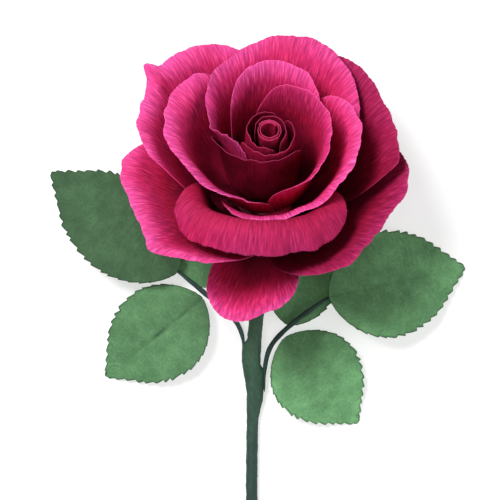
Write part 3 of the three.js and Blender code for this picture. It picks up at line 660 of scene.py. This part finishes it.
def calyx_piece(material):
    """One cut piece of green paper: a cup under the petals that runs out into five pointed sepals."""
    columns, cup_rows, sepal_rows = 240, 10, 24
    azimuth = FIRST_SEPAL + np.arange(columns + 1) * 360 / columns
    half_pitch = 180 / SEPALS
    from_middle = np.abs((azimuth - FIRST_SEPAL + half_pitch) % (2 * half_pitch) - half_pitch) / half_pitch
    reach = SEPAL_ROOT + (SEPAL_LENGTH - SEPAL_ROOT) * (1 - from_middle) ** 1.6
    cup_row = np.linspace(0, len(CALYX_CUP) - 1, cup_rows)
    cup = [np.interp(cup_row, range(len(CALYX_CUP)), part)[:, None] + 0 * azimuth for part in CALYX_CUP.T]
    layer = np.full(columns + 1, CALYX_LAYER)
    profiles = profile_curves(dict(spare=0, middle=20), layer, 0 * layer + CALYX_CURVE, 0 * layer)
    distance = np.linspace(0, 1, sepal_rows + 1)[1:, None] * reach
    r, h = (np.vstack(parts) for parts in zip(cup, on_profile(distance, *profiles)))
    out = np.clip(np.vstack([0 * cup[0], distance]) / SEPAL_LENGTH, 0, 1)
    h = h - 0.5 * out ** 2 + 0.15 * (1 - from_middle) * out
    phi = np.radians(azimuth)
    grid = around(r, phi, h)[:, :-1]
    half = LEAF_THICKNESS / 2
    away = around(half * math.cos(CALYX_LEAN), phi, -half * math.sin(CALYX_LEAN))[:-1]
    walked = np.vstack([np.linspace(0, CUP_DEPTH, cup_rows)[:, None] + 0 * azimuth, CUP_DEPTH + distance])
    uv = np.stack([phi * 14 + 0 * walked, walked], -1)
    values = {
        "edge": np.clip((CUP_DEPTH + reach - walked) / EDGE_SPAN, 0, 1)[:, :-1],
        "rib": (np.exp(-((from_middle * 6) ** 2)) * out)[:, :-1] * 0.6,
    }
    return ring_piece("calyx_paper", "calyx", grid + away, grid - away, uv, values, material,
                      flower_to_world)


# ---- Stem ------------------------------------------------------------------------------------------------

WIRE_RADIUS, WRAP_BORE, WRAP_RADIUS, NECK_RADIUS = 1.0, 1.12, 2.1, 2.6
WIRE_TOP, WRAP_TOP = 4.4, -10.9
BEND_START, BEND_LIFT = -12, 0.15
BRANCHES_START, BRANCHES_END = -62, -80
STEM_ROUTE = [(-0.1, -22), (-0.9, -27), (-2.6, -34), (-4.6, -48), (-5.4, -62), (-5.7, -80), (-6, -110),
              (-5.4, -160), (-3.6, -210)]
STEM_END_X = -2.6
TAPE_PITCH, TAPE_STEP = 9.0, 0.11  # length of stem for each turn of tape, and the height of its overlap
TAPE_UV_RADIUS = 2.2
# The tape swells over the root of each leaf wire: the side of the stem, as an angle from -X, and the stretch.
BRANCH_ROOTS = [(0, -84, -61.5), (math.pi, -72, -52.5)]
ROOT_SWELLING, ROOT_SPREAD = 1.6, 0.62
STEM_CLEARANCE = 0.02


def on_axis(height):
    """Point of the flower's axis in the frame of the lying rose."""
    return (0, height * math.sin(TILT), FLOOR_DROP + height * math.cos(TILT))


def stem_radius(y):
    """Radius of the wrapped stem, thicker above the branches than below them."""
    return np.interp(y, (BRANCHES_END, BRANCHES_START), (WRAP_RADIUS, NECK_RADIUS))


def stem_points(top):
    """Points of the stem's middle line: down the flower's axis, round the bent neck and along the surface."""
    start = on_axis(BEND_START)
    turn = math.pi / 2 - TILT
    radius = (start[2] - NECK_RADIUS - BEND_LIFT) / (1 - math.cos(turn))
    points = [on_axis(top), on_axis((top + BEND_START) / 2)]
    for left in np.linspace(turn, 0, 5):
        y = start[1] - radius * (math.sin(turn) - math.sin(left))
        points.append((0, y, NECK_RADIUS + BEND_LIFT + radius * (1 - math.cos(left))))
    points += [(x, y, float(stem_radius(y))) for x, y in STEM_ROUTE]
    points += [(STEM_END_X, STEM_END_Y + back, WRAP_RADIUS) for back in (16, 8, 0)]
    return points


def stem_pieces(tape, wire, rng):
    """The bare wire inside the stem, and the tape wound round it."""
    rows, sides = 200, 20
    centres = spline(stem_points(WIRE_TOP), rows)
    radius = np.full((rows, sides), WIRE_RADIUS)
    rod_piece("stem_core_wire", "stem_wire", centres, radius, {"tone": 0 * radius}, wire)
    rows, sides = 620, 32
    centres = spline(stem_points(WRAP_TOP), rows)
    angle, ring = rings_along(centres, sides)
    walked = walk(centres)[:, None]
    y = centres[:, 1:2]
    course = 0.06 * wave_noise(walked / 20, rng, 0.5, 2)
    wound = (walked / TAPE_PITCH + angle / (2 * math.pi) + course) % 1
    radius = stem_radius(y) + TAPE_STEP * wound ** 3 - 0.05
    radius = radius + 0.06 * wave_noise(walked / 6 + angle / 2, rng, 0.5, 1.5)
    radius = radius + 0.035 * wave_noise(walked / 1.4 + 2 * angle / math.pi, rng, 0.5, 1.5)
    for side, from_y, to_y in BRANCH_ROOTS:
        window = smooth((y - from_y) / 12) * smooth((to_y - y) / 3.0)
        off = (angle - side + math.pi) % (2 * math.pi) - math.pi
        radius = radius + ROOT_SWELLING * window * np.exp(-(off / ROOT_SPREAD) ** 2)
    outer = centres[:, None, :] + ring * radius[..., None]
    inner = centres[:, None, :] + ring * WRAP_BORE
    outer[..., 2] = np.maximum(outer[..., 2], STEM_CLEARANCE)
    turn = np.arange(sides + 1) * 2 * math.pi * TAPE_UV_RADIUS / sides
    uv = np.stack(np.broadcast_arrays(turn[None, :], walked), -1)
    values = {"tone": smooth((y + 100) / 60) + 0 * angle}
    ring_piece("stem_tape_wrap", "stem_wrap", outer, inner, uv, values, tape, rose_to_world)


# ---- Leaves ----------------------------------------------------------------------------------------------

# Each leaflet: the ends of its midrib, its greatest width, its arch, its teeth on each side, how light it is
# (partly its own green, partly painted light that lifts the leaflets lying in the flower's shadow), and how
# plain its midrib shows.
LEAFLETS = {
    "left_end": dict(base=(-32.4, -28.4, 10.5), tip=(-78.2, 7.1, 0.4),
                     width=34, arch=3, teeth=19, light=0.5, rib=0.25),
    "left_lower": dict(base=(-23.6, -38.2, 5.2), tip=(-58.5, -66.3, 0.4),
                       width=34, arch=2.5, teeth=17, light=1.0, rib=0.9),
    "left_upper": dict(base=(-23.4, -34.2, 5.8), tip=(-21.5, 4, 1.6),
                       width=27, arch=2, teeth=15, light=1.5, rib=0.3),
    "right_end": dict(base=(21.6, -37.4, 10), tip=(70.8, -27.2, 0.4),
                      width=38, arch=3.5, teeth=19, light=1.5, rib=0.35),
    "right_lower": dict(base=(5.6, -52.6, 4.6), tip=(32.1, -83.1, 0.4),
                        width=33, arch=2.5, teeth=17, light=1.6, rib=0.15),
    "right_upper": dict(base=(7, -47.6, 4.8), tip=(18.5, -12, 2.6),
                        width=25, arch=1.6, teeth=14, light=1.6, rib=0.2),
}
LEAF_CUP = 0.08  # how much the blade rises from its midrib, for each millimetre across
WIRE_REACH = 0.62  # how far along the midrib a leaf wire is glued under its leaflet
LEAF_WIRE_RADIUS, PETIOLE_RADIUS = 0.55, 0.9
LEAF_WIRE_DROP = 1.3  # from the middle of the blade down to the middle of its wire
LEAF_CLEARANCE, LEAF_WIRE_CLEARANCE = 0.32, 0.03
TOOTH_DEPTH = 1.0
TOOTH_BACK = 0.78  # part of a tooth's pitch that rises towards its point
TOOTH_BORDER = 2.2  # width of the border that the teeth pull on
OTHER_SIDE = 0.4  # how far the teeth of one side run ahead of the other's
RIB_DEPTH, RIB_WIDTH = 0.42, 0.55
LEAF_WAYS = {
    "left_end": [(-9.4, -60, 2.6), (-9.1, -53, 3), (-12, -46, 4.4), (-22.7, -36.4, 7.2)],
    "right_end": [(-1.4, -72, 2.6), (-1.2, -63, 2.9), (0.6, -56, 4.2), (5, -50.4, 6.6), (14.6, -42.6, 8.2)],
}


def leaf_grid(leaf, t, v):
    """Points of a leaflet's middle surface: t along the midrib, v from -1 to 1 across."""
    base, tip = np.array(leaf["base"], float), np.array(leaf["tip"], float)
    along = tip - base
    across = np.array([-along[1], along[0], 0.0])
    across /= np.linalg.norm(across)
    half = leaf["width"] / 2 * np.sin(math.pi * np.clip(t, 0, 1) ** 0.82) ** 0.72
    half = np.maximum(half * (1 - 0.3 * smooth((t - 0.72) / 0.28)), 0.45)
    points = base + t[..., None] * along + (v * half)[..., None] * across
    points[..., 2] += leaf["arch"] * 4 * t * (1 - t) + LEAF_CUP * np.abs(v) * half * (1 - t)
    return points, half, along / np.linalg.norm(along), across


def leaf_piece(name, leaf, rng):
    """One toothed leaf blade, cupped about its sunken midrib."""
    rows, columns = 240, 45
    bent = np.linspace(0, 1, rows)
    t = (0.55 * bent + 0.45 * (1 - np.cos(math.pi * bent)) / 2)[:, None]
    v = np.sin(np.linspace(-math.pi / 2, math.pi / 2, columns))[None, :]
    t, v = np.broadcast_arrays(t, v)
    grid, half, along, across = leaf_grid(leaf, t, v)
    outline = leaf_grid(leaf, t[:, -1:], np.ones((rows, 1)))[0][:, 0]
    walked = walk(outline)
    q = (walked / walked[-1] * leaf["teeth"])[:, None]
    jitter = 0.16 * wave_noise(q, rng, 0.15, 0.6)
    saw = (q + jitter + np.where(v < 0, OTHER_SIDE, 0.0)) % 1
    tooth = np.where(saw < TOOTH_BACK, (saw / TOOTH_BACK) ** 0.85, (1 - saw) / (1 - TOOTH_BACK))
    size = TOOTH_DEPTH * smooth(t / 0.14) * (0.45 + 0.55 * smooth((1.02 - t) / 0.1))
    size = size * (0.85 + 0.25 * wave_noise(q, rng, 0.1, 0.3, 3))
    border = smooth((np.abs(v) * half - (half - TOOTH_BORDER)) / TOOTH_BORDER) * (np.abs(v) > 0.5)
    push = (tooth - 0.45) * size * border
    grid = grid + (push * np.sign(v))[..., None] * across + (0.55 * push)[..., None] * along
    ripple = wave_noise(t * 3, rng, 0.4, 1.3, 4)
    sides = wave_noise(t * 3 + 5, rng, 0.4, 1.4, 4)
    lift = 0.55 * ripple * np.abs(v) ** 1.5 + 0.45 * sides * v
    rib = np.exp(-((v * half) / RIB_WIDTH) ** 2) * smooth((0.93 - t) / 0.3) * smooth(t / 0.03)
    grain = 0.10 * wave_noise(t * 30 + v * 4, rng, 0.3, 1.2) * wave_noise(v * half / 4, rng, 0.3, 1.1)
    lift = lift * np.minimum(half / 8, 1) * np.clip(grid[..., 2] / 3, 0, 1)
    grid[..., 2] += lift + grain - RIB_DEPTH * leaf["rib"] * rib
    grid[..., 2] = np.maximum(grid[..., 2], LEAF_CLEARANCE)
    uv = np.stack([v * half, t * math.dist(leaf["base"], leaf["tip"])], -1)
    values = {
        "edge": np.clip(half * (1 - np.abs(v)) / EDGE_SPAN, 0, 1),
        "rib": rib * leaf["rib"] * (0.55 + 0.45 * wave_noise(t * 4, rng, 0.4, 1.2, 4)),
    }
    sheet_piece("leaf_blade_" + name, "leaflet_" + name, grid, LEAF_THICKNESS + 0 * t, uv, values,
                leaf_material("leaf_paper_" + name, leaf["light"]), rose_to_world)


def leaf_wire_piece(name, leaf, material):
    """Paper-covered wire glued under a leaflet's midrib; an end leaflet's wire runs on to the stem."""
    t = np.array([0.04, 0.2, 0.4, WIRE_REACH])
    midrib = leaf_grid(leaf, t, 0 * t)[0] - np.array([0, 0, LEAF_WIRE_DROP])
    way = LEAF_WAYS.get(name, [])
    samples, sides = 240 if way else 80, 16
    centres = spline([*way, *midrib], samples)
    radius = np.full(samples, LEAF_WIRE_RADIUS)
    if way:
        to_leaf = np.linalg.norm(centres - midrib[0], axis=1)
        radius = LEAF_WIRE_RADIUS + (PETIOLE_RADIUS - LEAF_WIRE_RADIUS) * smooth(to_leaf / 14)
        radius = radius * (0.3 + 0.7 * smooth(np.linalg.norm(centres - centres[0], axis=1) / 13))
    ends = np.minimum(np.arange(samples), np.arange(samples)[::-1])
    radius = radius * np.sqrt(np.clip(ends / 5, 0.02, 1))
    radius = radius * (1 + 0.05 * np.sin(np.linspace(0, 70, samples)))
    centres[:, 2] = np.maximum(centres[:, 2], radius + LEAF_WIRE_CLEARANCE)
    radius = radius[:, None] + np.zeros((samples, sides))
    rod_piece("leaf_stalk_" + name, "leaf_wire_" + name, centres, radius, {"tone": 1 + 0 * radius}, material)


# ---- Assembly --------------------------------------------------------------------------------------------

crepe = crepe_material()
for order, (name, petal) in enumerate(PETALS.items()):
    petal_piece(name, petal, crepe, np.random.default_rng(SEED + order))
bud_core_piece(crepe, np.random.default_rng(SEED + 50))
calyx_piece(leaf_material("calyx_paper", 1.0))
stem_pieces(tape_material("stem_tape", (0.036, 0.094, 0.050), (0.017, 0.046, 0.034)), wire_material(),
            np.random.default_rng(SEED + 52))
WIRE_GREEN = (0.026, 0.060, 0.050)
wire_tape = tape_material("wire_tape", WIRE_GREEN, WIRE_GREEN)
for order, (name, leaf) in enumerate(LEAFLETS.items()):
    leaf_piece(name, leaf, np.random.default_rng(SEED + 60 + order))
    leaf_wire_piece(name, leaf, wire_tape)

# The binding shows only through gaps deep under the petals; its dark crimson is partly painted shade.
SHADED_CRIMSON = (0.12, 0.002, 0.010)
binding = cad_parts["petal_binding"]
binding.data.materials.clear()
binding.data.materials.append(tape_material("binding_strip", SHADED_CRIMSON, SHADED_CRIMSON, on_uv=False))

# ---- Floor, light and camera -----------------------------------------------------------------------------

FLOOR_HALF = 3.0
CAMERA_DISTANCE = 1.2174  # over the surface
VIEW_MIDDLE = (-6.6, -20.8, 0)  # where the camera looks, in the CAD source's millimetres
FIELD = 0.1803  # side of the square that the view takes in on the surface
SENSOR = 36


def floor():
    """Pale surface that the rose lies on."""
    mesh = bpy.data.meshes.new("floor")
    corners = [(-FLOOR_HALF, -FLOOR_HALF), (FLOOR_HALF, -FLOOR_HALF), (FLOOR_HALF, FLOOR_HALF),
               (-FLOOR_HALF, FLOOR_HALF)]
    mesh.from_pydata([(x, y, 0) for x, y in corners], [], [(0, 1, 2, 3)])
    piece = bpy.data.objects.new("floor", mesh)
    bpy.context.collection.objects.link(piece)
    n = Nodes("pale_floor")
    n.set(Base_Color=(0.45, 0.45, 0.45, 1), Roughness=0.9, Specular_IOR_Level=0.1,
          Emission_Color=(1, 1, 1, 1), Emission_Strength=0.6)
    mesh.materials.append(n.material)


def area_light(name, place, target, size, watts):
    """Round soft light that faces its target."""
    light = bpy.data.lights.new(name, "AREA")
    light.shape = "DISK"
    light.size = size
    light.energy = watts
    lamp = bpy.data.objects.new(name, light)
    lamp.location = place
    lamp.rotation_euler = (Vector(target) - Vector(place)).to_track_quat("-Z", "Y").to_euler()
    bpy.context.collection.objects.link(lamp)


floor()
flower_middle = rose_to_world([0, 20, 30])
area_light("key", (-0.5, 0.62, 1.15), flower_middle, 0.55, 23)
area_light("top", (0.0, 0.0, 1.45), flower_middle, 0.5, 3)
area_light("side", (1.1, -0.15, 0.8), flower_middle, 0.8, 6)
world = bpy.data.worlds.new("studio")
world.use_nodes = True
background = world.node_tree.nodes["Background"].inputs
background["Color"].default_value = (1, 1, 1, 1)
background["Strength"].default_value = 0.20
bpy.context.scene.world = world
bpy.context.scene.view_settings.view_transform = "Standard"

camera_data = bpy.data.cameras.new("camera")
camera_data.sensor_width = SENSOR
camera_data.lens = SENSOR * CAMERA_DISTANCE / FIELD
camera_data.clip_end = 20
camera = bpy.data.objects.new("camera", camera_data)
aim = rose_to_world(VIEW_MIDDLE)
camera.location = (aim[0], aim[1], CAMERA_DISTANCE)
bpy.context.collection.objects.link(camera)
bpy.context.scene.camera = camera
